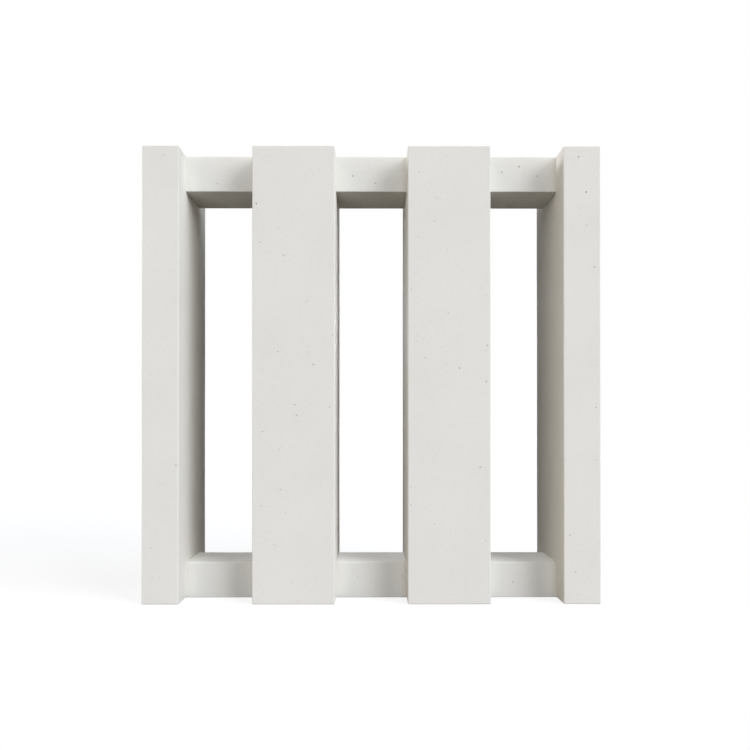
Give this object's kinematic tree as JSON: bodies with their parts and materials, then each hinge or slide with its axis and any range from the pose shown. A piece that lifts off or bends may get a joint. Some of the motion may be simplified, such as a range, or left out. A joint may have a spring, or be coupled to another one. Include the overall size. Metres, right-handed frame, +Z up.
{
  "type": "concrete screen block",
  "caption": "Square precast concrete screen block: full-depth upright bars with open slots between them, tied by set-back rails near the top and bottom.",
  "frame": {"origin": "middle of the bed face, on which the block stands", "axes": "+Z up along the bars, +X along the wall, Y through the wall's thickness with the shown face towards -Y"},
  "size_m": [0.4, 0.1, 0.4],
  "materials": {
    "cast_concrete": "smooth as-cast concrete, matt, with fine air pits"
  },
  "bodies": {
    "root": {"screen_block": "cast_concrete"}
  },
  "joints": []
}
